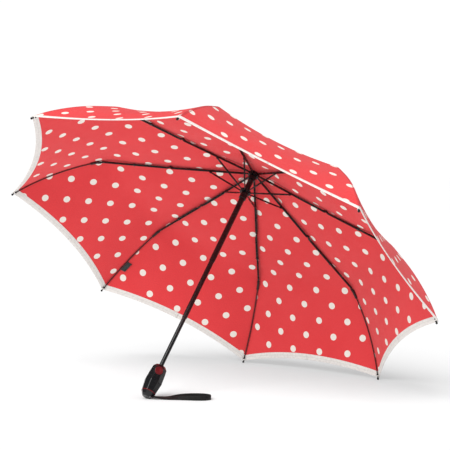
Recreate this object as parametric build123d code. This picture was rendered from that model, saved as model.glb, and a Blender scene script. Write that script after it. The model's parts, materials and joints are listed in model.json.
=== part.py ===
from build123d import *
from math import asin, atan2, cos, degrees, dist, hypot, radians, sin, tan
import os

# Open three-fold umbrella, lying on the edge of its handle end and on two rib tips.
# Every piece is drawn upright first: the shaft is the z axis, z = 0 is the level of the crown
# pivots, +z points out of the top, and r is the distance from the shaft. A rib is drawn in the
# r-z plane with y across it, then turned about the shaft to its place. Units are millimetres.

# ---- driving dimensions: the open frame -------------------------------------------------------
RIBS = 8
PIVOT_R = 10.0                  # radius of the crown and runner pivots
CROWN_PIVOT = (PIVOT_R, 0.0)
KNEE_1 = (182.0, -37.5)         # top rib to middle rib
KNEE_2 = (334.5, -75.5)         # middle rib to outer rib
TIP = (485.0, -213.0)           # centre of the ball at the end of a rib
STRETCHER_AT = 84.9             # how far along the top rib the stretcher is pinned
STRETCHER_DROP = 5.0            # and how far under the line through its pivots
FIRST_RIB_ANGLE = 157.5         # rib 1; the others follow every 45 degrees, clockwise from above

# ---- rib sections -----------------------------------------------------------------------------
RIB_W, RIB_H, RIB_WALL = 3.6, 3.0, 0.6
STRETCHER_W, STRETCHER_H, STRETCHER_WALL = 2.6, 2.6, 0.5
TONGUE_W = 1.8                  # flat end that fits between two cheeks or in a notch
RIVET_R, RIVET_HEAD_R, RIVET_HEAD_H = 0.6, 1.3, 0.4
RIVET_HOLE_R = 0.66
KNEE_1_GAP = 1.2                # rib faces lie this far under the first knee
KNEE_2_GAP = 0.4                # and this far above the second knee
END_GAP = 3.0                   # a channel stops this far short of its knee
LINK_R = 0.7
LINK_SIDE = 3.0                 # how far a link wire runs beside its channel
CLIP_AT = 77.0                  # clip on the middle rib that holds its link wire
CONNECTOR_L, CONNECTOR_W, CONNECTOR_H = 22.0, 4.4, 3.6
CONNECTOR_ANGLE, TIP_ANGLE = -33.0, -54.5
OUTER_WIRE_R = 1.1
TIP_CAP_R, TIP_CAP_L, TIP_BALL_R = 2.0, 10.0, 2.4

# ---- shaft, crown and runner ------------------------------------------------------------------
UPPER_TUBE_R, UPPER_TUBE_BORE = 6.0, 5.3
MIDDLE_TUBE_R, MIDDLE_TUBE_BORE = 5.2, 4.5
LOWER_TUBE_R, LOWER_TUBE_BORE = 4.4, 3.7
UPPER_TUBE_END = -227.0
MIDDLE_TUBE_END = -368.0
TUBE_LAP = 18.0                 # how far an extended tube still reaches into the next one
FLANGE_R = 12.0
NOTCH_W = 2.4
CROWN_SLEEVE_R, RUNNER_SLEEVE_R = 8.2, 8.0
RUNNER_BORE = UPPER_TUBE_R + 0.1
RUNNER_LENGTH = 22.0

# ---- handle -----------------------------------------------------------------------------------
HANDLE_TOP = -485.0
HANDLE_LENGTH = 71.0
HANDLE_STATIONS = ((0, 9.8), (6, 14.4), (16, 15.6), (37, 17.3), (59.5, 14.2))  # depth, half width
CAP_STATIONS = ((61, 14.0), (67, 10.6), (71, 7.6))
CORNER_R = 2.4                  # rounding of the eight long edges
SHELL_WALL = 2.2
SOCKET_DEPTH = 24.0             # solid part of the handle that grips the lower tube
BUTTON_ANGLE = -135.0           # side of the handle that carries the button
BUTTON_DEPTH = 15.5             # centre of the button, down from the top of the handle
BUTTON_R, BEZEL_R, BUTTON_TOP, BUTTON_FLOOR = 8.4, 10.1, 17.2, 5.6
BUTTON_TRAVEL = 2.5

# ---- wrist strap, in its own ground plan: along the strap, across it, height -------------------
STRAP_W, STRAP_T = 9.0, 1.2
STRAP_HEADING = -52.3           # direction of the strap on the ground, from world +X
STRAP_ROUTE = ((-4, 0.8, 5.0), (15, 4.5, 3.4), (38, 14, 2.4), (62, 24, 3.2), (84, 31.5, 4.2),
               (103, 31, 4.6), (115.5, 19.5, 4.6), (115, 4, 4.6), (102, -6, 4.6),
               (82, -7, 4.2), (60, -4, 3.2), (37, -2.6, 2.4), (15, -1.9, 3.4), (-4, -0.8, 5.0))

# ---- canopy -----------------------------------------------------------------------------------
FABRIC = 0.8
HALF_GORE = 180.0 / RIBS
RIM_HOLLOW = 27.0               # how far the hem is cut in between two tips
HOLLOW_SHARES = (0.25, 0.6, 0.92, 1.0)      # part of that cut taken by each of the last stations
GORE_SAG = 0.042                # sag of a gore between its ribs, as a share of its width
HEM_W, HEM_T = 13.0, 0.4


# ---- small helpers in the rib plane -------------------------------------------------------------
def along(start, end, distance, rise=0.0):
    """Point at a distance from start towards end, lifted off that line by rise."""
    length = dist(start, end)
    u = ((end[0] - start[0]) / length, (end[1] - start[1]) / length)
    return (start[0] + u[0] * distance - u[1] * rise, start[1] + u[1] * distance + u[0] * rise)


def polar(start, angle, distance, rise=0.0):
    """The same, from a point and a direction in degrees."""
    a = radians(angle)
    return along(start, (start[0] + cos(a), start[1] + sin(a)), distance, rise)


def slab(outline, width, y=0.0):
    """A flat piece: an outline in the rib plane, given its width across the rib."""
    return Pos(0, y, 0) * extrude(Plane.XZ * outline, amount=width / 2, both=True)


def strip(start, end, height, width, y=0.0, rise=0.0):
    """A straight bar of rectangular section between two points of the rib plane."""
    length = dist(start, end)
    low, high = rise - height / 2, rise + height / 2
    corners = [along(start, end, d, h) for d, h in ((0, low), (length, low), (length, high), (0, high))]
    return slab(make_face(Polyline(*corners, close=True)), width, y)


def channel(start, end, height, width, wall):
    """A U section, open underneath."""
    length = dist(start, end)
    hollow = strip(along(start, end, -1), along(start, end, length + 1), height, width - 2 * wall, rise=-wall)
    return strip(start, end, height, width) - hollow


def ear(centre, radius, base, width, y=0.0):
    """A plate with a round end at centre that widens to the base points."""
    edges = (Pos(*centre) * Circle(radius)).edges() + Polyline(*base).edges()
    return slab(make_hull(edges), width, y)


def cross_pin(centre, radius, length, y=0.0):
    return Pos(centre[0], y, centre[1]) * Rot(90, 0, 0) * Cylinder(radius, length)


def rivet(centre, width):
    """A pin through a knee, with a head outside each cheek."""
    heads = [cross_pin(centre, RIVET_HEAD_R, RIVET_HEAD_H, side * (width + RIVET_HEAD_H) / 2) for side in (-1, 1)]
    return cross_pin(centre, RIVET_R, width) + heads


def rod(start, end, radius):
    """A round bar between two points in space."""
    start, end = Vector(*start), Vector(*end)
    return Plane(origin=(start + end) * 0.5, z_dir=end - start) * Cylinder(radius, (end - start).length)


def link_wire(start, end, side):
    """A thin wire beside a channel, with both ends bent in to meet its wall."""
    (x1, z1), (x2, z2) = start, end
    beside, wall = side * LINK_SIDE, side * RIB_W / 2
    wire = rod((x1, beside, z1), (x2, beside, z2), LINK_R)
    for x, z in (start, end):
        wire += rod((x, wall, z), (x, beside, z), LINK_R) + Pos(x, beside, z) * Sphere(LINK_R)
    return wire


CHEEK_Y = (RIB_W - RIB_WALL) / 2            # the cheeks carry on from the channel's side walls
STRETCHER_PIN = along(CROWN_PIVOT, KNEE_1, STRETCHER_AT, -STRETCHER_DROP)
RUNNER_PIVOT_Z = 2 * STRETCHER_PIN[1]       # stretcher and top rib are the two equal sides
RUNNER_PIVOT = (PIVOT_R, RUNNER_PIVOT_Z)
TOP_L = dist(CROWN_PIVOT, KNEE_1)
MIDDLE_L = dist(KNEE_1, KNEE_2)


# ---- ribs ---------------------------------------------------------------------------------------
def top_rib():
    """Channel from the crown to the first knee, with a lug underneath for the stretcher."""
    knee_rise = -KNEE_1_GAP - RIB_H / 2
    start = along(CROWN_PIVOT, along(CROWN_PIVOT, KNEE_1, TOP_L, knee_rise), 8)
    end = along(CROWN_PIVOT, KNEE_1, TOP_L - END_GAP, knee_rise)
    body = channel(start, end, RIB_H, RIB_W, RIB_WALL)
    body += strip(CROWN_PIVOT, along(start, end, 5), 2.6, TONGUE_W) + cross_pin(CROWN_PIVOT, 1.5, TONGUE_W)
    fork = [along(end, start, d, h) for d, h in ((0, RIB_H / 2), (5, RIB_H / 2), (5, -RIB_H / 2))]
    lug_at = STRETCHER_AT - 8
    lug = [along(start, end, lug_at + d, -h) for d, h in ((-4, 1.2), (4, 1.2), (-4, RIB_H / 2), (4, RIB_H / 2))]
    for side in (-CHEEK_Y, CHEEK_Y):
        body += ear(KNEE_1, 1.8, fork, RIB_WALL, side)
        body += ear(STRETCHER_PIN, 1.7, lug, RIB_WALL, side)
    body -= cross_pin(CROWN_PIVOT, RIVET_HOLE_R, RIB_W)
    rivets = [rivet(KNEE_1, RIB_W), rivet(STRETCHER_PIN, RIB_W)]
    link = link_wire(along(start, end, lug_at + 12), along(end, start, 7), -1)
    return [body - rivets[0] - rivets[1], *rivets, link]


def stretcher():
    """Arm from the top rib's lug to the runner: a channel with two flat ends."""
    length = dist(RUNNER_PIVOT, STRETCHER_PIN)
    start = along(RUNNER_PIVOT, STRETCHER_PIN, 24)
    end = along(RUNNER_PIVOT, STRETCHER_PIN, length - 5)
    body = channel(start, end, STRETCHER_H, STRETCHER_W, STRETCHER_WALL)
    body += strip(RUNNER_PIVOT, along(start, end, 5), 2.4, TONGUE_W)
    body += strip(along(end, start, 5), STRETCHER_PIN, 2.4, TONGUE_W)
    for centre in (RUNNER_PIVOT, STRETCHER_PIN):
        body += cross_pin(centre, 1.4, TONGUE_W)
        body -= cross_pin(centre, RIVET_HOLE_R, RIB_W)
    return [body]


def middle_rib():
    """Channel from the first knee to the second, hung under one and over the other."""
    start = along(KNEE_1, KNEE_2, END_GAP + 0.5, -KNEE_1_GAP - RIB_H / 2)
    end = along(KNEE_1, KNEE_2, MIDDLE_L - END_GAP, KNEE_2_GAP + RIB_H / 2)
    body = channel(start, end, RIB_H, RIB_W, RIB_WALL)
    for knee, near, far in ((KNEE_1, start, end), (KNEE_2, end, start)):
        base = [along(near, far, d, h) for d, h in ((0, -1.1), (0, 1.1), (6, -1.1), (6, 1.1))]
        body += ear(knee, 1.5, base, TONGUE_W)
        body -= cross_pin(knee, RIVET_HOLE_R, RIB_W)
    clip = strip(along(start, end, CLIP_AT - 2), along(start, end, CLIP_AT + 2), RIB_H + 1.0, RIB_W + 1.2)
    clip += slab(Pos(*along(start, end, CLIP_AT)) * Circle(1.5), 2.8, LINK_SIDE)
    link = link_wire(along(start, end, 10), along(start, end, CLIP_AT), 1)
    channel_core = strip(along(start, end, CLIP_AT - 3), along(start, end, CLIP_AT + 3), RIB_H, RIB_W)
    return [body, clip - channel_core - link, link]


def wire_curve():
    """Bowed centre line of the outer wire, from inside the connector to the tip cap."""
    begin = polar(KNEE_2, CONNECTOR_ANGLE, CONNECTOR_L, KNEE_2_GAP + CONNECTOR_H / 2)
    finish = polar(TIP, TIP_ANGLE + 180, TIP_CAP_L)
    a, b = radians(CONNECTOR_ANGLE), radians(TIP_ANGLE)
    return Plane.XZ * Spline(begin, finish, tangents=((cos(a), sin(a)), (cos(b), sin(b))))


def outer_rib():
    """Plastic connector on the second knee, with the bowed spring wire that it holds."""
    middle = KNEE_2_GAP + CONNECTOR_H / 2
    start = polar(KNEE_2, CONNECTOR_ANGLE, END_GAP + 1, middle)
    end = polar(KNEE_2, CONNECTOR_ANGLE, CONNECTOR_L, middle)
    half = CONNECTOR_H / 2
    connector = strip(start, end, CONNECTOR_H, CONNECTOR_W)
    cheek = [along(start, end, d, h) for d, h in ((0, -half), (0, half), (3, -half), (3, half))]
    cheek_t = CONNECTOR_W / 2 - 1.25
    for side in (-1, 1):
        connector += ear(KNEE_2, 1.8, cheek, cheek_t, side * (1.25 + cheek_t / 2))
    pin = rivet(KNEE_2, CONNECTOR_W)
    curve = wire_curve()
    wire = sweep(Plane(origin=curve @ 0, z_dir=curve % 0) * Circle(OUTER_WIRE_R), path=curve)
    return [connector - pin, pin, wire]


def rib_tip():
    """Cap on the end of the wire, a neck for the sewing thread, and a ball."""
    base = polar(TIP, TIP_ANGLE + 180, TIP_CAP_L)
    neck = polar(TIP, TIP_ANGLE + 180, 4.0)
    to_space = [(x, 0, z) for x, z in (base, neck, TIP)]
    return [rod(to_space[0], to_space[1], TIP_CAP_R) + rod(to_space[1], to_space[2], 1.2)
            + Pos(*to_space[2]) * Sphere(TIP_BALL_R)]


# ---- shaft, crown and runner ----------------------------------------------------------------------
def tube(top, bottom, radius, bore):
    return Pos(0, 0, (top + bottom) / 2) * (Cylinder(radius, top - bottom) - Cylinder(bore, top - bottom))


def disc(bottom, top, radius):
    return Pos(0, 0, (top + bottom) / 2) * Cylinder(radius, top - bottom)


def notches(inner_r, bottom, top):
    """One radial slot for each rib."""
    depth = FLANGE_R + 2 - inner_r
    slot = Pos(inner_r + depth / 2, 0, (bottom + top) / 2) * Box(depth, NOTCH_W, top - bottom)
    return [Rot(0, 0, FIRST_RIB_ANGLE - 45 * k) * slot for k in range(RIBS)]


def crown():
    body = disc(-4, 4, FLANGE_R) + disc(-14, -4, CROWN_SLEEVE_R)
    body = chamfer(body.faces().sort_by(Axis.Z)[-1].edges(), 1.0)
    return body - disc(-14, 1, UPPER_TUBE_R) - notches(CROWN_SLEEVE_R, -15, 2.2) - crown_ring()


def crown_ring():
    """Wire ring that threads the inner ends of all the ribs."""
    return Torus(PIVOT_R, 0.5)


def ferrule_cap():
    """Domed cap that clamps the fabric on top of the crown."""
    body = disc(6.4, 14.0, 9.0)
    body = fillet(body.faces().sort_by(Axis.Z)[-1].edges(), 4.0)
    return body + disc(4.0, 6.4, 5.6)


def runner():
    low = RUNNER_PIVOT_Z + 3 - RUNNER_LENGTH
    body = disc(low, RUNNER_PIVOT_Z + 3, RUNNER_SLEEVE_R) + disc(RUNNER_PIVOT_Z - 3, RUNNER_PIVOT_Z + 3, FLANGE_R)
    body = chamfer(body.faces().sort_by(Axis.Z)[0].edges(), 0.6)
    body += disc(RUNNER_PIVOT_Z + 3, RUNNER_PIVOT_Z + 4.8, RUNNER_BORE + 0.7)
    bore = disc(low, RUNNER_PIVOT_Z + 4.8, RUNNER_BORE)
    return body - bore - notches(RUNNER_SLEEVE_R, low - 1, RUNNER_PIVOT_Z + 3)


def runner_ring():
    """Wire ring around the runner's neck."""
    return Pos(0, 0, RUNNER_PIVOT_Z + 3.6) * Torus(RUNNER_BORE + 1.3, 0.6)


# ---- handle -----------------------------------------------------------------------------------------
def eight_sided(stations, inset=0.0):
    """A rounded eight-sided body through stations of depth below the handle's top and half width."""
    sections = []
    for depth, half in stations:
        outline = RegularPolygon(half - inset, RIBS, major_radius=False, rotation=HALF_GORE)
        sections.append(Pos(0, 0, HANDLE_TOP - depth) * fillet(outline.vertices(), CORNER_R))
    return loft(sections, ruled=True)


def on_button_axis(shape):
    """Turn a shape drawn along +z so that it stands on the side of the handle at the button."""
    return Pos(0, 0, HANDLE_TOP - BUTTON_DEPTH) * Rot(0, 0, BUTTON_ANGLE) * Rot(0, 90, 0) * shape


def handle_body():
    """The handle as one hollow body, before it is parted into two shells."""
    inner = [(SOCKET_DEPTH, 15.9), (37, 17.3), (59.5, 14.2)]
    body = eight_sided(HANDLE_STATIONS) - eight_sided(inner, SHELL_WALL)
    body -= disc(HANDLE_TOP - SOCKET_DEPTH, HANDLE_TOP, LOWER_TUBE_R)
    return body - on_button_axis(disc(BUTTON_FLOOR, 30, BEZEL_R))


def handle_shell(side):
    """Front shell (side +1) carries the button; the back shell is side -1."""
    half = Pos(25 * side, 0, HANDLE_TOP - 36) * Box(50, 60, 90)
    return handle_body() & (Rot(0, 0, BUTTON_ANGLE) * half)


def handle_band():
    return eight_sided(((59.5, 14.5), (61, 14.3)))


def strap_frame():
    """Where the strap's ground plan lies in the world: its mouth is in the side of the end cap."""
    angle = radians(STRAP_HEADING)
    mouth = (PLACE * Pos(5.3, -9.2, HANDLE_TOP - 66.5)).position
    return Pos(mouth.X + 1.5 * cos(angle), mouth.Y + 1.5 * sin(angle), 0) * Rot(0, 0, STRAP_HEADING)


def strap_pocket():
    """Slot in the end cap for the two ends of the strap, with a little room all round."""
    height = STRAP_ROUTE[0][2]
    return strap_frame() * Pos(0, 0, height) * Box(13.0, STRAP_W + 0.6, 2 * STRAP_T + 0.6)


def strap_pin():
    """Pin across the bottom of the strap's slot."""
    return strap_frame() * Pos(-5.0, 0, STRAP_ROUTE[0][2]) * Rot(90, 0, 0) * Cylinder(0.9, STRAP_W + 0.6)


def handle_end_cap():
    cap = PLACE * eight_sided(CAP_STATIONS)
    return cap - strap_pocket() - strap_pin()


def button_bezel():
    ring = disc(BUTTON_FLOOR, 16.6, BEZEL_R) - disc(BUTTON_FLOOR, 16.6, BUTTON_R + 0.1)
    return on_button_axis(fillet(ring.faces().sort_by(Axis.Z)[-1].edges(), 0.5))


def push_button():
    """Round thumb button with a dished top and one raised ring."""
    body = disc(9.6, BUTTON_TOP, BUTTON_R)
    body = fillet(body.faces().sort_by(Axis.Z)[-1].edges(), 0.9)
    body -= disc(BUTTON_TOP - 0.5, BUTTON_TOP, 6.4) - disc(BUTTON_TOP - 0.5, BUTTON_TOP, 5.4)
    body -= Pos(0, 0, BUTTON_TOP + 21.6) * Sphere(22)
    return on_button_axis(body + disc(8.4, 9.6, 2.5))


def button_spring():
    coil = Helix(1.3, 2.6, 4.0)
    wire = sweep(Plane(origin=coil @ 0, z_dir=coil % 0) * Circle(0.35), path=coil)
    return on_button_axis(Pos(0, 0, BUTTON_FLOOR + 0.5) * wire)


def wrist_strap():
    """Plain ribbon along the strap's route, low at the handle and standing on edge at the far end."""
    plan = [(a, b) for a, b, _ in STRAP_ROUTE]
    radii = []
    for before, here, after in zip(plan, plan[1:], plan[2:]):
        turn = Vector(here[0] - before[0], here[1] - before[1]).get_angle(
            Vector(after[0] - here[0], after[1] - here[1]))
        radii.append(0.45 * min(dist(before, here), dist(here, after)) / tan(radians(turn) / 2))
    print("strap radii mm:", [round(r, 1) for r in radii])
    path = FilletPolyline(*plan, radius=radii)
    print("strap length mm:", round(path.length, 1))
    section = Plane(origin=path @ 0, z_dir=path % 0, x_dir=(0, 0, 1)) * Rectangle(4 * STRAP_W, STRAP_T)
    ribbon = sweep(section, path=path, transition=Transition.RIGHT)
    leg = [(a, z) for a, _, z in STRAP_ROUTE[:7]]
    low = [(a, max(0.0, z - STRAP_W / 2, 0.0 if a > 30 else z - STRAP_T)) for a, z in leg]
    high = [(a, z + STRAP_T if a < 30 else 2 * z) for a, z in leg]
    side = Plane.XZ * make_face(Polyline(*low, (125, 0), (125, high[-1][1]), *high[::-1], close=True))
    return strap_frame() * (ribbon & extrude(side, amount=60, both=True))


# ---- canopy -----------------------------------------------------------------------------------------
def fabric_line():
    """Underside of the fabric over a rib, from the hole at the crown to the tip."""
    curve = wire_curve()
    over_wire = []
    for share, rise in ((0.3, 2.2), (0.65, 2.4), (0.97, 3.3)):
        here, way = curve @ share, curve % share
        over_wire.append((here.X - way.Z * rise, here.Z + way.X * rise))
    return [(6.4, 5.3), (14.0, 4.9), along(CROWN_PIVOT, KNEE_1, STRETCHER_AT, 3.4),
            along(CROWN_PIVOT, KNEE_1, TOP_L, 3.4), along(KNEE_1, KNEE_2, MIDDLE_L / 2, 4.2),
            along(KNEE_1, KNEE_2, MIDDLE_L, 5.4), polar(KNEE_2, CONNECTOR_ANGLE, CONNECTOR_L, 5.0),
            *over_wire, polar(TIP, TIP_ANGLE + 180, 3.0, -3.4)]


def lifted_line(points, rise):
    """The same line of points, moved off itself by rise."""
    moved = []
    for i, point in enumerate(points):
        before, after = points[max(i - 1, 0)], points[min(i + 1, len(points) - 1)]
        span = dist(before, after)
        moved.append((point[0] - (after[1] - before[1]) / span * rise,
                      point[1] + (after[0] - before[0]) / span * rise))
    return moved


def band(line, thickness):
    """Face of a strip of fabric seen edge-on in the rib plane."""
    upper = lifted_line(line, thickness)
    edges = [Spline(*line), Line(line[-1], upper[-1]), Spline(*upper[::-1]), Line(upper[0], line[0])]
    return Plane.XZ * make_face(edges)


def gore_middle(line):
    """The line half way between two ribs: the chord between them, sagged, with its end cut back."""
    middle = []
    for r, z in line:
        sag = GORE_SAG * 2 * r * sin(radians(HALF_GORE))
        middle.append((r * cos(radians(HALF_GORE)) - 0.5 * sag, z - 0.8 * sag))
    first = len(middle) - len(HOLLOW_SHARES)
    cut = [along(middle[first + i], middle[first + i - 1], share * RIM_HOLLOW)
           for i, share in enumerate(HOLLOW_SHARES)]
    return middle[:first] + cut


def gore(line, middle, thickness):
    """One gore, lofted from one rib to the next."""
    sections = [Rot(0, 0, -HALF_GORE) * band(line, thickness), band(middle, thickness),
                Rot(0, 0, HALF_GORE) * band(line, thickness)]
    return loft(sections)


def canopy():
    line = fabric_line()
    return gore(line, gore_middle(line), FABRIC)


def hem():
    """Binding strip sewn along the inside of one gore's rim."""
    line = fabric_line()
    middle = gore_middle(line)
    rim, rim_middle = [], []
    for distance in (HEM_W, HEM_W / 2, 0.0):
        rim.append(along(line[-1], line[-2], distance, 0.05))
        rim_middle.append(along(middle[-1], middle[-2], distance, 0.05))
    rim, rim_middle = lifted_line(rim, -HEM_T - 0.1), lifted_line(rim_middle, -HEM_T - 0.1)
    return gore(rim, rim_middle, HEM_T)


def label():
    """Small blank cloth tab sewn beside the third rib's wire."""
    curve = wire_curve()
    start, end = curve @ 0.52, curve @ 0.67
    across = Vector(-sin(radians(HALF_GORE)), -cos(radians(HALF_GORE)), 0)
    inward = (end - start).cross(across).normalized()
    corners = [start + across * 1.7, end + across * 1.7, end + across * 12.7, start + across * 12.7]
    face = make_face(Polyline(*[corner + inward * 0.5 for corner in corners], close=True))
    return extrude(face, amount=0.6, dir=inward)


# ---- the umbrella in its place -----------------------------------------------------------------------
def resting_tilt():
    """Lean of the shaft when the handle's end edge and two rib tips are on the ground."""
    reach = TIP[0] * cos(radians(HALF_GORE)) - CAP_STATIONS[-1][1]
    rise = TIP[1] - (HANDLE_TOP - HANDLE_LENGTH)
    return degrees(atan2(rise, reach) - asin(TIP_BALL_R / hypot(reach, rise)))


TILT = resting_tilt()
TURN = Rot(0, TILT, 0)
GROUND = (TURN * Pos(CAP_STATIONS[-1][1], 0, HANDLE_TOP - HANDLE_LENGTH)).position.Z
MIDDLE_X = -128.59              # centre of the umbrella's extent along the ground
PLACE = Pos(-MIDDLE_X, 0, -GROUND) * TURN


def rib_turn(number):
    return Rot(0, 0, FIRST_RIB_ANGLE - 45 * (number - 1))


def save(node, *solids):
    """Write one named sub-part, already in its place in the world."""
    export_step(Compound(label=node, children=[s for part in solids for s in part.solids()]), f"parts/{node}.step")


def build():
    os.makedirs("parts", exist_ok=True)
    rib_pieces = {"top_rib": top_rib(), "stretcher": stretcher(), "middle_rib": middle_rib(),
                  "outer_rib": outer_rib(), "rib_tip": rib_tip()}
    for number in range(1, RIBS + 1):
        for name, solids in rib_pieces.items():
            save(f"{name}_{number}", *[PLACE * rib_turn(number) * solid for solid in solids])
    save("label", PLACE * rib_turn(3) * label())
    one_gore, one_hem = canopy(), hem()
    gore_turns = [PLACE * Rot(0, 0, 45 * k) for k in range(RIBS)]
    save("canopy", *[turn * one_gore for turn in gore_turns])
    save("canopy_hem", *[turn * one_hem for turn in gore_turns])
    upright = {
        "upper_tube": tube(1, UPPER_TUBE_END, UPPER_TUBE_R, UPPER_TUBE_BORE),
        "middle_tube": tube(UPPER_TUBE_END + TUBE_LAP, MIDDLE_TUBE_END, MIDDLE_TUBE_R, MIDDLE_TUBE_BORE),
        "lower_tube": tube(MIDDLE_TUBE_END + TUBE_LAP, HANDLE_TOP - SOCKET_DEPTH, LOWER_TUBE_R, LOWER_TUBE_BORE),
        "crown": crown(), "crown_ring": crown_ring(), "ferrule_cap": ferrule_cap(),
        "runner": runner(), "runner_ring": runner_ring(),
        "handle_front_shell": handle_shell(1), "handle_back_shell": handle_shell(-1),
        "handle_band": handle_band(), "push_button": push_button(), "button_bezel": button_bezel(),
        "button_spring": button_spring(),
    }
    for name, solid in upright.items():
        save(name, PLACE * solid)
    save("handle_end_cap", handle_end_cap())
    save("strap_pin", strap_pin())
    save("wrist_strap", wrist_strap())


if __name__ == "__main__":
    build()
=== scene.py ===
"""Open folding umbrella with a dotted canopy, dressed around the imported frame.

Lengths are in metres. Inside the umbrella, points are written (r, z): r is the distance from the
shaft and z the height along it, with 0 at the level of the crown pivots.
"""
import json
import math

import bpy
import numpy as np
from mathutils import Matrix, Vector


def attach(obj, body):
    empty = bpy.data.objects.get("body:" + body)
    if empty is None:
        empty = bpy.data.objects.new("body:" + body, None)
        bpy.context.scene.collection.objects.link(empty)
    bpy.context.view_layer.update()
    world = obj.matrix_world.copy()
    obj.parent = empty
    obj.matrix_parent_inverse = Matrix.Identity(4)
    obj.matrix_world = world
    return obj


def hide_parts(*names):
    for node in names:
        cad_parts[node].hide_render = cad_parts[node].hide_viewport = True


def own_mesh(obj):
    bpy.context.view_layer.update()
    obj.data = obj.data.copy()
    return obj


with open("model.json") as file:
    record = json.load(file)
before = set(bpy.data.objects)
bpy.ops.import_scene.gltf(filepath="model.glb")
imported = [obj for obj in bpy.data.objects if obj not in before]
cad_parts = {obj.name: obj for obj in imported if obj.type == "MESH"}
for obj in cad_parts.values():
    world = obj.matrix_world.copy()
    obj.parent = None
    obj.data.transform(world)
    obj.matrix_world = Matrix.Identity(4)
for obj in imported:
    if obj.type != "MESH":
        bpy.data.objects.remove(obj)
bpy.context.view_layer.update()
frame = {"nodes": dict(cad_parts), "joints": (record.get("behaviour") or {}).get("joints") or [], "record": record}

# ---- the umbrella's own axes, read from the joints -----------------------------------------------
RIBS = 8
NUMBERS = range(1, RIBS + 1)
HALF_GORE = math.pi / RIBS
JOINTS = {j["name"]: j for j in frame["joints"]}


def pivot(name):
    return Vector(JOINTS[name]["pos_m"])


UP = -Vector(JOINTS["runner_slide"]["axis"]).normalized()
SIDE = Vector((0, 1, 0))
AHEAD = SIDE.cross(UP).normalized()
CROWN = sum((pivot(f"top_rib_{k}_fold") for k in NUMBERS), Vector()) / RIBS
SHAFT = Matrix((AHEAD, SIDE, UP)).transposed()


def turn_of(number):
    """Direction of a rib round the shaft, in radians."""
    p = pivot(f"middle_rib_{number}_fold") - CROWN
    return math.atan2(p.dot(SIDE), p.dot(AHEAD))


def in_rib_plane(name):
    p = pivot(name) - CROWN
    z = p.dot(UP)
    return ((p - UP * z).length, z)


def to_world(points):
    """Points (n, 3) on the umbrella's own axes, moved to the row frame."""
    return np.asarray(points, float) @ np.array(SHAFT, float).T + np.array(CROWN, float)


# ---- small numeric helpers ---------------------------------------------------------------------------
def ahead_of(start, end, distance, rise=0.0):
    """Point at a distance from start towards end in the rib plane, lifted off that line by rise."""
    dx, dz = end[0] - start[0], end[1] - start[1]
    n = math.hypot(dx, dz)
    ux, uz = dx / n, dz / n
    return (start[0] + ux * distance - uz * rise, start[1] + uz * distance + ux * rise)


def heading(start, angle, distance, rise=0.0):
    a = math.radians(angle)
    return ahead_of(start, (start[0] + math.cos(a), start[1] + math.sin(a)), distance, rise)


def smooth(knots, values, at):
    """Natural cubic through the values at the knots, read at the given places."""
    knots, values, at = (np.asarray(a, float) for a in (knots, values, at))
    h = np.diff(knots)
    n = len(knots)
    m = np.zeros((n, n))
    m[0, 0] = m[-1, -1] = 1
    rhs = np.zeros((n,) + values.shape[1:])
    for i in range(1, n - 1):
        m[i, i - 1], m[i, i], m[i, i + 1] = h[i - 1], 2 * (h[i - 1] + h[i]), h[i]
        rhs[i] = 6 * ((values[i + 1] - values[i]) / h[i] - (values[i] - values[i - 1]) / h[i - 1])
    bend = np.linalg.solve(m, rhs)
    i = np.clip(np.searchsorted(knots, at, side="right") - 1, 0, n - 2)
    a, b, w = (at - knots[i])[:, None], (knots[i + 1] - at)[:, None], h[i][:, None]
    return (bend[i] * b ** 3 + bend[i + 1] * a ** 3) / (6 * w) + (
        values[i] / w - bend[i] * w / 6) * b + (values[i + 1] / w - bend[i + 1] * w / 6) * a


def along_wire(start, start_angle, end, end_angle, share):
    """Point and direction at a share of a bowed spring wire, between two ends held at set angles."""
    length = math.dist(start, end)
    p0, p1 = np.array(start), np.array(end)
    t0, t1 = (length * np.array([math.cos(math.radians(a)), math.sin(math.radians(a))])
              for a in (start_angle, end_angle))
    s = share
    point = ((2 * s ** 3 - 3 * s ** 2 + 1) * p0 + (s ** 3 - 2 * s ** 2 + s) * t0
             + (3 * s ** 2 - 2 * s ** 3) * p1 + (s ** 3 - s ** 2) * t1)
    way = ((6 * s ** 2 - 6 * s) * p0 + (3 * s ** 2 - 4 * s + 1) * t0
           + (6 * s - 6 * s ** 2) * p1 + (3 * s ** 2 - 2 * s) * t1)
    return point, way / np.linalg.norm(way)


# ---- the line of the fabric over a rib, and half way between two ribs ------------------------------
P_CROWN = in_rib_plane("top_rib_1_fold")
KNEE_1 = in_rib_plane("middle_rib_1_fold")
KNEE_2 = in_rib_plane("outer_rib_1_fold")
TIP = (0.485, -0.213)
CONNECTOR_ANGLE, TIP_ANGLE = -33.0, -54.5
CONNECTOR_L, CONNECTOR_H, KNEE_2_GAP = 0.022, 0.0036, 0.0004
TIP_CAP_L = 0.010
WIRE_START = heading(KNEE_2, CONNECTOR_ANGLE, CONNECTOR_L, KNEE_2_GAP + CONNECTOR_H / 2)
WIRE_END = heading(TIP, TIP_ANGLE + 180, TIP_CAP_L)
GORE_SAG = 0.042
RIM_HOLLOW = 0.027
HOLLOW_SHARES = (0.25, 0.6, 0.92, 1.0)
CLOTH_T = 0.0005


def wire_point(share, rise=0.0):
    point, way = along_wire(WIRE_START, CONNECTOR_ANGLE, WIRE_END, TIP_ANGLE, share)
    return (point[0] - way[1] * rise, point[1] + way[0] * rise)


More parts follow.
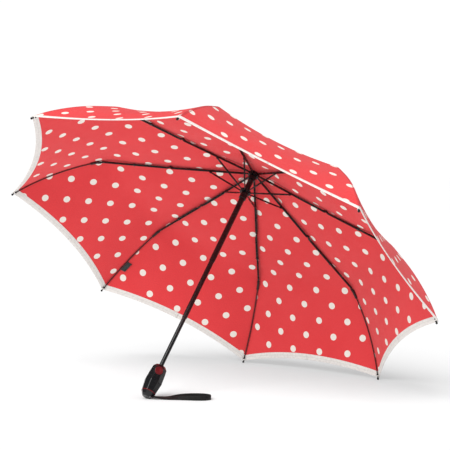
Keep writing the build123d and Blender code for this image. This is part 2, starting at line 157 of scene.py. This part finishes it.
def rib_line():
    """Underside of the fabric over a rib, from the hole at the crown to the tip."""
    reach = math.dist(P_CROWN, KNEE_1)
    middle = math.dist(KNEE_1, KNEE_2)
    return [(0.0064, 0.0053), (0.014, 0.0049), ahead_of(P_CROWN, KNEE_1, 0.0849, 0.0034),
            ahead_of(P_CROWN, KNEE_1, reach, 0.0034), ahead_of(KNEE_1, KNEE_2, middle / 2, 0.0042),
            ahead_of(KNEE_1, KNEE_2, middle, 0.0054), heading(KNEE_2, CONNECTOR_ANGLE, CONNECTOR_L, 0.005),
            wire_point(0.3, 0.0022), wire_point(0.65, 0.0024), wire_point(0.97, 0.0033),
            heading(TIP, TIP_ANGLE + 180, 0.003, -0.0034)]


def gore_middle(line):
    """The line half way between two ribs, sagged between them and cut back at the rim."""
    middle = []
    for r, z in line:
        sag = GORE_SAG * 2 * r * math.sin(HALF_GORE)
        middle.append((r * math.cos(HALF_GORE) - 0.5 * sag, z - 0.8 * sag))
    first = len(middle) - len(HOLLOW_SHARES)
    cut = [ahead_of(middle[first + i], middle[first + i - 1], share * RIM_HOLLOW)
           for i, share in enumerate(HOLLOW_SHARES)]
    return middle[:first] + cut


RIB_LINE = np.array(rib_line())
MIDDLE_LINE = np.array(gore_middle([tuple(p) for p in RIB_LINE]))
KNOTS = np.concatenate([[0], np.cumsum(np.linalg.norm(np.diff(RIB_LINE, axis=0), axis=1))])
KNEE_1_AT, KNEE_2_AT, RIM_AT = KNOTS[3], KNOTS[5], KNOTS[-1]


def arc(line, at):
    """Length of a smooth line from its start to each station."""
    fine = np.linspace(0, RIM_AT, 400)
    points = smooth(KNOTS, line, fine)
    lengths = np.concatenate([[0], np.cumsum(np.linalg.norm(np.diff(points, axis=0), axis=1))])
    return np.interp(at, fine, lengths)


def gore_points(at, across):
    """Points of a gore on its own axes (its middle plane is y = 0), at stations along it and shares
    across it, -1 on one rib and 1 on the other."""
    rib, mid = smooth(KNOTS, RIB_LINE, at), smooth(KNOTS, MIDDLE_LINE, at)
    u = np.asarray(across, float)
    x = mid[:, 0] + (rib[:, 0] * math.cos(HALF_GORE) - mid[:, 0]) * u ** 2
    y = rib[:, 0] * math.sin(HALF_GORE) * u
    z = mid[:, 1] + (rib[:, 1] - mid[:, 1]) * u ** 2
    return np.stack([x, y, z], axis=1)


def gore_normals(at, across):
    """Outward normals of the same surface."""
    e = 1e-4
    low, high = np.clip(at - e, 0, RIM_AT), np.clip(at + e, 0, RIM_AT)
    d_at = gore_points(high, across) - gore_points(low, across)
    d_across = gore_points(at, across + e) - gore_points(at, across - e)
    n = np.cross(d_at, d_across)
    return n / np.linalg.norm(n, axis=1)[:, None]


def flat_place(at, across):
    """Where those points lie on the flat gore: along its middle, and to the side of it."""
    u = np.asarray(across, float)
    rib, mid = smooth(KNOTS, RIB_LINE, at), smooth(KNOTS, MIDDLE_LINE, at)
    deep = np.hypot(rib[:, 0] * math.cos(HALF_GORE) - mid[:, 0], rib[:, 1] - mid[:, 1])
    half = rib[:, 0] * math.sin(HALF_GORE)
    side = half * (1 + 2 / 3 * (deep / half) ** 2)
    edge = np.sqrt(np.maximum(arc(RIB_LINE, at) ** 2 - side ** 2, 0))
    centre = arc(MIDDLE_LINE, at)
    return centre + (edge - centre) * u ** 2, side * u


def turned(points, turn):
    """Points on a gore's or a rib's axes, turned about the shaft."""
    c, s = math.cos(turn), math.sin(turn)
    return np.stack([points[:, 0] * c - points[:, 1] * s, points[:, 0] * s + points[:, 1] * c,
                     points[:, 2]], axis=1)

# ---- materials ------------------------------------------------------------------------------------------
class Look:
    """A procedural material, with short calls for the nodes that it is made of."""

    def __init__(self, name, **sockets):
        self.material = bpy.data.materials.new(name)
        self.material.use_nodes = True
        self.tree = self.material.node_tree
        self.shader = self.tree.nodes["Principled BSDF"]
        for socket, value in sockets.items():
            self.shader.inputs[socket.replace("_", " ")].default_value = value

    def add(self, kind, values, **settings):
        node = self.tree.nodes.new("ShaderNode" + kind)
        for key, value in settings.items():
            setattr(node, key, value)
        for key, value in values.items():
            if isinstance(value, bpy.types.NodeSocket):
                self.tree.links.new(value, node.inputs[key])
            else:
                node.inputs[key].default_value = value
        return node

    def math(self, operation, *values):
        return self.add("Math", dict(enumerate(values)), operation=operation).outputs[0]

    def blend(self, share, first, second):
        node = self.add("Mix", {0: share, 6: first, 7: second}, data_type="RGBA")
        return node.outputs[2]

    def spread(self, value, low, high, to_low=0.0, to_high=1.0):
        values = {0: value, 1: low, 2: high, 3: to_low, 4: to_high}
        return self.add("MapRange", values, interpolation_type="SMOOTHSTEP").outputs[0]

    def noise(self, place, scale, detail=3.0):
        return self.add("TexNoise", {"Vector": place, "Scale": scale, "Detail": detail}).outputs[0]

    def place(self, layer=None):
        if layer:
            return self.add("UVMap", {}, uv_map=layer).outputs[0]
        return self.add("TexCoord", {}).outputs["Object"]

    def parts(self, vector):
        return self.add("SeparateXYZ", {0: vector}).outputs[:2]

    def vector(self, x, y):
        return self.add("CombineXYZ", {0: x, 1: y}).outputs[0]

    def colour(self, socket):
        self.tree.links.new(socket, self.shader.inputs["Base Color"])

    def rough(self, socket):
        self.tree.links.new(socket, self.shader.inputs["Roughness"])

    def bump(self, *layers):
        """Layers are (height, strength, distance in metres)."""
        normal = None
        for height, strength, distance in layers:
            values = {"Height": height, "Strength": strength, "Distance": distance}
            if normal:
                values["Normal"] = normal
            normal = self.add("Bump", values).outputs[0]
        self.tree.links.new(normal, self.shader.inputs["Normal"])

    def weave(self, x, y, thread):
        """Height of a plain weave: warp and weft pass over each other in turn."""
        turns = 2 * math.pi / (2 * thread)
        return self.math("MULTIPLY", self.math("SINE", self.math("MULTIPLY", x, turns)),
                         self.math("SINE", self.math("MULTIPLY", y, turns)))

    def dashes(self, away, along, line, pitch, width=0.0005):
        """Mask of a line of stitches at a distance from a seam."""
        off = self.math("ABSOLUTE", self.math("SUBTRACT", away, line))
        near = self.spread(off, width, width * 1.6, 1, 0)
        beat = self.math("PINGPONG", self.math("DIVIDE", along, pitch), 0.5)
        return self.math("MULTIPLY", near, self.spread(beat, 0.12, 0.2))


DOT_R = 0.0077
DOT_ROW, DOT_STEP, DOT_SHIFT = 0.0365, 0.071, 0.5


def dotted_cloth():
    look = Look("fabric_red", Sheen_Weight=0.08, Sheen_Roughness=0.45, Specular_IOR_Level=0.2)
    cloth, seam = look.place("cloth"), look.place("seam")
    x, y = look.parts(cloth)
    away, along = look.parts(seam)
    column = look.math("DIVIDE", x, DOT_ROW)
    row = look.math("SUBTRACT", look.math("DIVIDE", y, DOT_STEP), look.math("MULTIPLY", column, DOT_SHIFT))
    off_x = look.math("MULTIPLY", look.math("SUBTRACT", look.math("FRACT", column), 0.5), DOT_ROW)
    off_y = look.math("MULTIPLY", look.math("SUBTRACT", look.math("FRACT", row), 0.5), DOT_STEP)
    off_y = look.math("ADD", off_y, look.math("MULTIPLY", off_x, DOT_SHIFT * DOT_STEP / DOT_ROW))
    reach = look.add("VectorMath", {0: look.vector(off_x, off_y)}, operation="LENGTH")
    away_from_dot = reach.outputs["Value"]
    ragged = look.math("MULTIPLY_ADD", look.noise(cloth, 900, 2), 0.0006, away_from_dot)
    dot = look.spread(ragged, DOT_R - 0.0001, DOT_R + 0.0006, 1, 0)
    fade = look.noise(cloth, 9, 4)
    red = look.blend(fade, (0.82, 0.044, 0.050, 1), (0.92, 0.070, 0.076, 1))
    weft = look.noise(look.vector(look.math("MULTIPLY", x, 0.12), y), 2600, 2)
    warp = look.noise(look.vector(x, look.math("MULTIPLY", y, 0.12)), 2600, 2)
    thread = look.spread(look.math("MULTIPLY", weft, warp), 0.12, 0.38, 0.32, 0.0)
    red = look.blend(thread, red, (0.50, 0.015, 0.022, 1))
    cream = look.blend(look.noise(cloth, 700, 2), (0.90, 0.80, 0.72, 1), (0.95, 0.87, 0.80, 1))
    colour = look.blend(dot, red, cream)
    felled = look.spread(away, 0.0036, 0.0048, 0.35, 0)
    colour = look.blend(felled, colour, (0.42, 0.015, 0.02, 1))
    stitch = look.dashes(away, along, 0.0026, 0.0028)
    look.colour(look.blend(stitch, colour, (0.62, 0.05, 0.06, 1)))
    look.rough(look.spread(look.noise(cloth, 60, 4), 0.2, 0.8, 0.58, 0.72))
    pucker = look.noise(look.vector(look.math("MULTIPLY", away, 14),
                                    look.math("MULTIPLY", along, 120)), 1, 2)
    pucker = look.math("MULTIPLY", pucker, look.spread(away, 0.0, 0.03, 1, 0))
    pull = look.noise(look.vector(look.math("MULTIPLY", x, 5), look.math("MULTIPLY", y, 14)), 1, 3)
    fell = look.spread(away, 0.0036, 0.0046, 1, 0)
    look.bump((pull, 0.6, 0.004), (pucker, 0.8, 0.0022), (fell, 0.5, 0.0005), (stitch, 0.4, 0.0003),
              (look.weave(x, y, 0.0003), 0.5, 0.0001))
    return look.material


def tape(name, light, dark, thread, line=None, rough=(0.7, 0.85), sheen=0.2):
    """Woven tape or ribbon in flat coordinates, with a line of stitches a distance in from its edge."""
    look = Look(name, Sheen_Weight=sheen, Specular_IOR_Level=0.3)
    cloth = look.place("cloth")
    x, y = look.parts(cloth)
    ribs = look.math("SINE", look.math("MULTIPLY", look.math("ADD", x, y), 2 * math.pi / (3 * thread)))
    worn = look.spread(look.noise(cloth, 160, 4), 0.35, 0.7)
    colour = look.blend(worn, (*light, 1), (*dark, 1))
    colour = look.blend(look.spread(ribs, -1, 1, 0, 0.3), colour, (*dark, 1))
    heights = [(look.noise(cloth, 55, 3), 0.5, 0.0008), (ribs, 0.3, 0.00012),
               (look.weave(x, y, thread), 0.3, 0.00008)]
    if line:
        stitch = look.dashes(x, y, line, 0.003)
        colour = look.blend(stitch, colour, (0.70, 0.65, 0.61, 1))
        heights.append((stitch, 0.6, 0.0003))
    look.colour(colour)
    look.rough(look.spread(look.noise(cloth, 300, 3), 0.3, 0.7, *rough))
    look.bump(*heights)
    return look.material


def hard(name, colour, worn, rough, metallic=0.0, coat=0.0, grain=900, depth=0.00003, wear=0.12, gloss=0.3):
    """Lacquered metal or moulded plastic: fine grain, handling marks and faint wear."""
    look = Look(name, Metallic=metallic, Coat_Weight=coat, Coat_Roughness=0.12, Specular_IOR_Level=gloss)
    place = look.place()
    patches = look.spread(look.noise(place, 70, 6), 0.5, 0.75, 0, wear)
    specks = look.spread(look.noise(place, 420, 2), 0.62, 0.72, 0, wear)
    look.colour(look.blend(look.math("MAXIMUM", patches, specks), (*colour, 1), (*worn, 1)))
    look.rough(look.spread(look.noise(place, 160, 5), 0.25, 0.75, *rough))
    look.bump((look.noise(place, 45, 2), 0.12, 0.0004), (look.noise(place, grain, 3), 0.35, depth))
    return look.material


MATERIALS = {
    "fabric_red": dotted_cloth(),
    "binding_cream": tape("binding_cream", (0.88, 0.83, 0.79), (0.76, 0.71, 0.68), 0.0004, 0.0065),
    "strap_black": tape("strap_black", (0.006, 0.005, 0.005), (0.003, 0.0025, 0.0025), 0.0005,
                        rough=(0.6, 0.8), sheen=0.05),
    "label_black": tape("label_black", (0.03, 0.036, 0.036), (0.012, 0.014, 0.014), 0.00025,
                        rough=(0.35, 0.5), sheen=0.35),
    "steel_black": hard("steel_black", (0.004, 0.004, 0.0045), (0.03, 0.028, 0.028),
                        (0.18, 0.34), coat=0.25),
    "wire_dark": hard("wire_dark", (0.024, 0.005, 0.005), (0.06, 0.02, 0.018), (0.25, 0.45), coat=0.15),
    "tube_black": hard("tube_black", (0.004, 0.004, 0.005), (0.03, 0.03, 0.033),
                       (0.14, 0.28), coat=0.35),
    "plastic_black": hard("plastic_black", (0.004, 0.004, 0.005), (0.015, 0.015, 0.017),
                          (0.2, 0.34), coat=0.25),
    "plastic_red": hard("plastic_red", (0.13, 0.003, 0.006), (0.2, 0.012, 0.016),
                        (0.24, 0.38), coat=0.25),
    "ring_steel": hard("ring_steel", (0.55, 0.55, 0.56), (0.35, 0.34, 0.34), (0.22, 0.4), metallic=1.0),
    "tip_plastic": hard("tip_plastic", (0.005, 0.005, 0.005), (0.04, 0.038, 0.035), (0.3, 0.45)),
}
for part in frame["record"]["subparts"]:
    for place in frame["nodes"][part["node"]].material_slots:
        place.material = MATERIALS[part["material_slot"]]


# ---- building meshes ------------------------------------------------------------------------------------
UNBOUNCED = ("fabric_red", "binding_cream")     # lend no colour to the floor, so that its shade is neutral


def piece(name, points, faces, slot, body, layers=None, normals=None):
    """A smooth mesh object at the origin, with a material and a body. layers are UV maps by vertex."""
    mesh = bpy.data.meshes.new(name)
    mesh.from_pydata([tuple(p) for p in points], [], faces)
    mesh.polygons.foreach_set("use_smooth", [True] * len(mesh.polygons))
    corner = np.empty(len(mesh.loops), int)
    mesh.loops.foreach_get("vertex_index", corner)
    for layer, values in (layers or {}).items():
        mesh.uv_layers.new(name=layer).data.foreach_set("uv", np.asarray(values, float)[corner].ravel())
    mesh.materials.append(MATERIALS[slot])
    mesh.update()
    if normals is not None:
        mesh.normals_split_custom_set_from_vertices([tuple(n) for n in normals])
    obj = bpy.data.objects.new(name, mesh)
    bpy.context.scene.collection.objects.link(obj)
    obj.visible_diffuse = slot not in UNBOUNCED
    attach(obj, body)
    return obj


def sheet_faces(rows, columns, flip=False):
    """Faces of a closed thin sheet: an inner grid, an outer grid after it, and the edge between them."""
    n = rows * columns
    faces = []
    for i in range(rows - 1):
        for j in range(columns - 1):
            a = i * columns + j
            quad = (a, a + 1, a + 1 + columns, a + columns)
            faces += [quad, tuple(n + q for q in reversed(quad))]
    rim = list(range(columns)) + [i * columns + columns - 1 for i in range(1, rows)]
    rim += [(rows - 1) * columns + j for j in range(columns - 2, -1, -1)]
    rim += [i * columns for i in range(rows - 2, 0, -1)]
    faces += [(b, a, a + n, b + n) for a, b in zip(rim, rim[1:] + rim[:1])]
    return [face[::-1] for face in faces] if flip else faces


def sleeve_faces(rings, around, flip=False):
    """Faces of a closed tube of rings, with flat ends."""
    faces = [(i * around + j, i * around + (j + 1) % around,
              (i + 1) * around + (j + 1) % around, (i + 1) * around + j)
             for i in range(rings - 1) for j in range(around)]
    faces += [tuple(reversed(range(around))), tuple((rings - 1) * around + j for j in range(around))]
    return [face[::-1] for face in faces] if flip else faces


# ---- canopy: each gore in six pieces, so that the fabric can fold with the ribs ------------------------
ZONES = (("top_rib", 0.0, KNEE_1_AT, 30), ("middle_rib", KNEE_1_AT, KNEE_2_AT, 22),
         ("outer_rib", KNEE_2_AT, RIM_AT, 34))
COLUMNS, BINDING_RINGS = 17, 33
BINDING = ((13.0, -0.15), (12.6, -0.5), (8.0, -0.6), (3.0, -0.6), (0.4, -0.7), (-0.5, -0.5), (-0.9, 0.1),
           (-0.6, 0.8), (0.3, 1.2), (3.0, 1.15), (6.0, 1.1), (7.8, 1.0), (8.2, 0.6), (6.0, 0.56),
           (0.4, 0.56), (0.02, 0.2), (0.4, -0.06), (6.0, -0.06))    # mm in from the rim, mm off the fabric
RIM_BAND = 0.06                 # stretch of the rib line in which the tape's width is measured off
# Where the first gore lies on the printed cloth, and the step along it to each next gore.
CUT_START, CUT_HEIGHT, CUT_SPACING = 0.028, 0.053, 0.337


def rib_side(number, side):
    """Turn of the gore on that side of a rib, and its own number."""
    return turn_of(number) + side * HALF_GORE, (number if side < 0 else (number - 2) % RIBS + 1)


def folded(obj):
    """Gives the piece a mesh of its own, not shared with any other object."""
    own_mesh(obj)


def petal(number, side, zone):
    """Half a gore between two knees: a thin closed sheet beside one rib."""
    body, start, stop, rows = ZONES[zone]
    at, share = (g.ravel() for g in np.meshgrid(np.linspace(start, stop, rows),
                                                np.linspace(0, 1, COLUMNS), indexing="ij"))
    across = side * (share - 1)
    turn, gore_number = rib_side(number, side)
    inner, normals = gore_points(at, across), gore_normals(at, across)
    points = np.concatenate([inner, inner + normals * CLOTH_T])
    normals = np.concatenate([-normals, normals])
    along, sideways = flat_place(at, across)
    lay = np.array([CUT_START + (gore_number - 1) * CUT_SPACING, CUT_HEIGHT])
    cloth = np.stack([sideways + lay[0], along + lay[1]], axis=1)
    edge = np.abs(flat_place(at, np.ones_like(at) * side)[1])
    seam = np.stack([edge - np.abs(sideways), at], axis=1)
    obj = piece(f"canopy_{body}_{number}_{'left' if side > 0 else 'right'}",
                to_world(turned(points, turn)), sheet_faces(rows, COLUMNS, flip=side < 0), "fabric_red",
                f"{body}_{number}", {"cloth": np.tile(cloth, (2, 1)), "seam": np.tile(seam, (2, 1))},
                turned(normals, turn) @ np.array(SHAFT, float).T)
    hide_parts("canopy")
    folded(obj)
    flat = cloth.reshape(rows, COLUMNS, 2)
    d1, d2 = flat[1:, 1:] - flat[:-1, :-1], flat[1:, :-1] - flat[:-1, 1:]
    area = float(np.abs(d1[..., 0] * d2[..., 1] - d1[..., 1] * d2[..., 0]).sum() / 2)
    return obj, tuple(float(np.ptp(cloth[:, i])) for i in (0, 1)), area


def binding(number, side):
    """Tape folded over the rim of half a gore and sewn through."""
    turn, _ = rib_side(number, side)
    section = np.array(BINDING) / 1000
    fine = np.linspace(RIM_AT - RIM_BAND, RIM_AT, 80)
    rings, cloth, run, last = [], [], 0.0, None
    for share in np.linspace(0, 1, BINDING_RINGS):
        across = np.full(len(fine), side * (share - 1))
        line, ways = gore_points(fine, across), gore_normals(fine, across)
        steps = np.linalg.norm(np.diff(line, axis=0), axis=1)
        inset = np.concatenate([np.cumsum(steps[::-1])[::-1], [0]])
        past = (line[-1] - line[-4]) / np.linalg.norm(line[-1] - line[-4])
        ring = []
        for depth, rise in section:
            spot, up = (np.array([np.interp(depth, inset[::-1], column[::-1]) for column in rows.T])
                        for rows in (line, ways))
            ring.append(spot + up * rise + past * max(0.0, -depth))
        run += 0.0 if last is None else float(np.linalg.norm(line[-1] - last))
        last = line[-1]
        rings += ring
        cloth += [(depth if rise < 0 else -depth, run) for depth, rise in section]
    obj = piece(f"binding_{number}_{'left' if side > 0 else 'right'}",
                to_world(turned(np.array(rings), turn)),
                sleeve_faces(BINDING_RINGS, len(section), flip=side > 0),
                "binding_cream", f"outer_rib_{number}",
                {"cloth": cloth})
    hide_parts("canopy_hem")
    folded(obj)
    return obj


for number in NUMBERS:
    for side in (-1, 1):
        tape_piece = binding(number, side)
        for zone in range(3):
            obj, flat, area = petal(number, side, zone)


# ---- label ----------------------------------------------------------------------------------------------
LABEL_RIB, LABEL_SHARES = 3, (0.52, 0.67)       # its rib, and where it starts and ends along the wire
LABEL_GAP, LABEL_W, LABEL_T = 0.0017, 0.011, 0.0004


def label():
    """Blank satin tab beside the third rib's wire, sewn in along its long side and a little curled."""
    start, end = (np.array([*wire_point(share), 0])[[0, 2, 1]] for share in LABEL_SHARES)
    beside = np.array([-math.sin(HALF_GORE), -math.cos(HALF_GORE), 0])
    inward = np.cross(end - start, beside)
    inward /= np.linalg.norm(inward)
    rows, columns = 12, 8
    along, out = (g.ravel()[:, None] for g in np.meshgrid(
        np.linspace(0, 1, rows), np.linspace(0, 1, columns), indexing="ij"))
    curl = 0.0006 + 0.0016 * out ** 2 + 0.0005 * np.sin(along * 5)
    sheet = start + (end - start) * along + beside * (LABEL_GAP + LABEL_W * out) + inward * curl
    points = np.concatenate([sheet + inward * LABEL_T, sheet])
    flat = np.concatenate([out * LABEL_W, along * math.dist(start, end)], axis=1)
    body = f"outer_rib_{LABEL_RIB}"
    obj = piece("label_tab", to_world(turned(points, turn_of(LABEL_RIB))), sheet_faces(rows, columns),
                "label_black", body, {"cloth": np.tile(flat, (2, 1))})
    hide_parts("label")
    folded(obj)


label()


# ---- thread that ties each tip to the corner of the fabric -----------------------------------------------
def tip_thread(number, wraps=4, steps=14, around=6, thread=0.00032, ring=0.0024, start=0.0045):
    """A few turns of sewing thread round the cap, laid side by side."""
    count = wraps * steps + 1
    a = np.linspace(0, 2 * math.pi * wraps, count)[:, None]
    b = (np.arange(around) * 2 * math.pi / around)[None, :]
    out = ring + thread * np.cos(b)
    along = start + 2 * thread * a / (2 * math.pi) + thread * np.sin(b)
    back = math.radians(TIP_ANGLE + 180)
    r = TIP[0] + along * math.cos(back) - out * np.cos(a) * math.sin(back)
    z = TIP[1] + along * math.sin(back) + out * np.cos(a) * math.cos(back)
    points = np.stack([r, out * np.sin(a), z], axis=-1).reshape(-1, 3)
    cloth = np.stack(np.broadcast_arrays(0.02 + thread * np.sin(b), ring * a), axis=-1).reshape(-1, 2)
    piece(f"tip_thread_{number}", to_world(turned(points, turn_of(number))), sleeve_faces(count, around),
          "binding_cream", f"outer_rib_{number}", {"cloth": cloth})


for number in NUMBERS:
    tip_thread(number)

# ---- wrist strap ----------------------------------------------------------------------------------------
STRAP_W, STRAP_T = 0.009, 0.0012
STRAP_HEADING = math.radians(-52.3)
STRAP_MOUTH = (0.0053, -0.0092, -0.5515)        # on the umbrella's own axes
STRAP_SETBACK = 0.0015
STRAP_LEAN = math.radians(88)                   # of the tape at its far end; it lies flat at the handle
LEAN_FROM = 0.008                               # where it starts to lean
LEAN_LEFT = 0.04                                # it leans over the loop's length less this
LIFT_END, LIFT_FADE = 0.05, 0.03                # where it has come down to the floor, and over what length
# Corners of the tape's section, in shares of its width and thickness.
TAPE_SECTION = ((-0.5, -0.25), (-0.47, -0.5), (-0.2, -0.5), (0.2, -0.5), (0.47, -0.5), (0.5, -0.25),
                (0.5, 0.25), (0.47, 0.5), (0.2, 0.5), (-0.2, 0.5), (-0.47, 0.5), (-0.5, 0.25))
# Control points of the loop, in mm: ahead of the mouth, across it, and up from the floor.
STRAP_ROUTE = ((-4, 0.4, 5.7), (15, 4.5, 3.8), (38, 14, 2.4), (62, 24, 3.2), (84, 31.5, 4.2),
               (103, 31, 4.6), (115.5, 19.5, 4.6), (115, 4, 4.6), (102, -6, 4.6),
               (82, -7, 4.2), (60, -4, 3.2), (37, -2.6, 2.4), (15, -1.9, 3.0), (-4, -0.4, 4.3))


def strap():
    """A flat tape loop, lying at the handle and standing on its edge at the far end."""
    mouth = Vector(to_world([STRAP_MOUTH])[0])
    ahead = Vector((math.cos(STRAP_HEADING), math.sin(STRAP_HEADING), 0))
    across = Vector((-ahead.y, ahead.x, 0))
    origin = Vector((mouth.x, mouth.y, 0)) + ahead * STRAP_SETBACK
    curve = bpy.data.curves.new("strap_line", "CURVE")
    curve.dimensions = "3D"
    spline = curve.splines.new("NURBS")
    spline.points.add(len(STRAP_ROUTE) - 1)
    for point, (a, b, h) in zip(spline.points, STRAP_ROUTE):
        point.co = (*(origin + (ahead * a + across * b) / 1000 + Vector((0, 0, h / 1000))), 1)
    spline.order_u = 3
    spline.use_endpoint_u = True
    spline.resolution_u = 12
    holder = bpy.data.objects.new("strap_line", curve)
    line = [v.co.copy() for v in bpy.data.meshes.new_from_object(holder).vertices]
    bpy.data.objects.remove(holder)

    far = max((p - origin).dot(ahead) for p in line)
    path, points, cloth, run = [], [], [], 0.0
    turned_back = False
    for i, here in enumerate(line):
        t = (line[min(i + 1, len(line) - 1)] - line[max(i - 1, 0)]).normalized()
        a = (here - origin).dot(ahead)
        turned_back = turned_back or a > far - 0.0005
        up = min(1.0, max(0.0, a - LEAN_FROM) / (far - LEAN_LEFT))
        lean = STRAP_LEAN * (3 * up ** 2 - 2 * up ** 3)
        rest = STRAP_W / 2 * math.sin(lean) + STRAP_T / 2 * math.cos(lean)
        lifted = min(1.0, max(0.0, (LIFT_END - a) / LIFT_FADE))
        here = Vector((here.x, here.y, rest + max(0.0, here.z - rest) * lifted))
        side = Vector((0, 0, 1)).cross(t).normalized() * (-1 if turned_back else 1)
        wide = (side * math.cos(lean) + Vector((0, 0, 1)) * math.sin(lean)).normalized()
        thick = t.cross(wide).normalized()
        run += (here - path[-1]).length if path else 0.0
        path.append(here)
        for w, d in TAPE_SECTION:
            points.append(here + wide * w * STRAP_W + thick * d * STRAP_T)
            cloth.append((w * STRAP_W, run))
    obj = piece("strap_tape", points, sleeve_faces(len(path), len(TAPE_SECTION)), "strap_black", "handle",
                {"cloth": cloth})
    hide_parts("wrist_strap")


strap()

# ---- stage ----------------------------------------------------------------------------------------------
CAMERA_ANGLES = (52.24, 2.69, 1.25)             # heading from +Y, dip and roll, in degrees
CAMERA_LENS, CAMERA_BACK, CAMERA_YZ = 123.32, 2.648, (-1.9763, 0.4912)
# The world's strength, and what each kind of ray adds: white to the camera, dim in the gloss.
AMBIENT, TO_CAMERA, TO_GLOSS = 0.64, 0.4, -0.44
KEY_ENERGY, KEY_ANGLE = 2.6, math.radians(42)
KEY_RIGHT, KEY_AHEAD, KEY_DOWN = 0.5, 0.85, 0.85    # the way that the key light falls


def stage():
    look = Look("floor_white", Roughness=0.7, Specular_IOR_Level=0.1)
    look.colour(look.blend(look.noise(look.place(), 2, 2), (0.90, 0.90, 0.905, 1), (0.92, 0.92, 0.92, 1)))
    mesh = bpy.data.meshes.new("floor")
    mesh.from_pydata([(-30, -30, 0), (30, -30, 0), (30, 30, 0), (-30, 30, 0)], [], [(0, 1, 2, 3)])
    mesh.materials.append(look.material)
    floor = bpy.data.objects.new("floor", mesh)
    bpy.context.scene.collection.objects.link(floor)
    world = bpy.data.worlds.new("studio")
    world.use_nodes = True
    nodes, links = world.node_tree.nodes, world.node_tree.links
    path = nodes.new("ShaderNodeLightPath")
    last = None
    for ray, change in (("Is Camera Ray", TO_CAMERA), ("Is Glossy Ray", TO_GLOSS)):
        dim = nodes.new("ShaderNodeMath")
        dim.operation = "MULTIPLY_ADD"
        dim.inputs[1].default_value, dim.inputs[2].default_value = change, AMBIENT
        links.new(path.outputs[ray], dim.inputs[0])
        if last:
            links.new(last, dim.inputs[2])
        last = dim.outputs[0]
    links.new(last, nodes["Background"].inputs["Strength"])
    nodes["Background"].inputs["Color"].default_value = (1, 1, 1, 1)
    bpy.context.scene.world = world
    bpy.context.scene.view_settings.view_transform = "Standard"


def camera_and_key():
    """Camera low and almost level, looking into the open canopy, and a soft key light."""
    az, el, roll = (math.radians(angle) for angle in CAMERA_ANGLES)
    ahead = Vector((math.sin(az) * math.cos(el), math.cos(az) * math.cos(el), -math.sin(el)))
    right = ahead.cross(Vector((0, 0, 1))).normalized()
    up = right.cross(ahead)
    rolled = right * math.cos(roll) + up * math.sin(roll)
    upright = up * math.cos(roll) - right * math.sin(roll)
    data = bpy.data.cameras.new("camera")
    data.lens, data.sensor_width = CAMERA_LENS, 36
    obj = bpy.data.objects.new("camera", data)
    bpy.context.scene.collection.objects.link(obj)
    obj.matrix_world = Matrix.Translation((CROWN.x - CAMERA_BACK, *CAMERA_YZ)) @ Matrix(
        (rolled, upright, -ahead)).transposed().to_4x4()
    bpy.context.scene.camera = obj
    sun = bpy.data.lights.new("key", "SUN")
    sun.energy, sun.angle = KEY_ENERGY, KEY_ANGLE
    lamp = bpy.data.objects.new("key", sun)
    bpy.context.scene.collection.objects.link(lamp)
    falls = right * KEY_RIGHT + ahead * KEY_AHEAD - Vector((0, 0, KEY_DOWN))
    lamp.rotation_euler = falls.to_track_quat("-Z", "Y").to_euler()


stage()
camera_and_key()

bpy.context.view_layer.update()
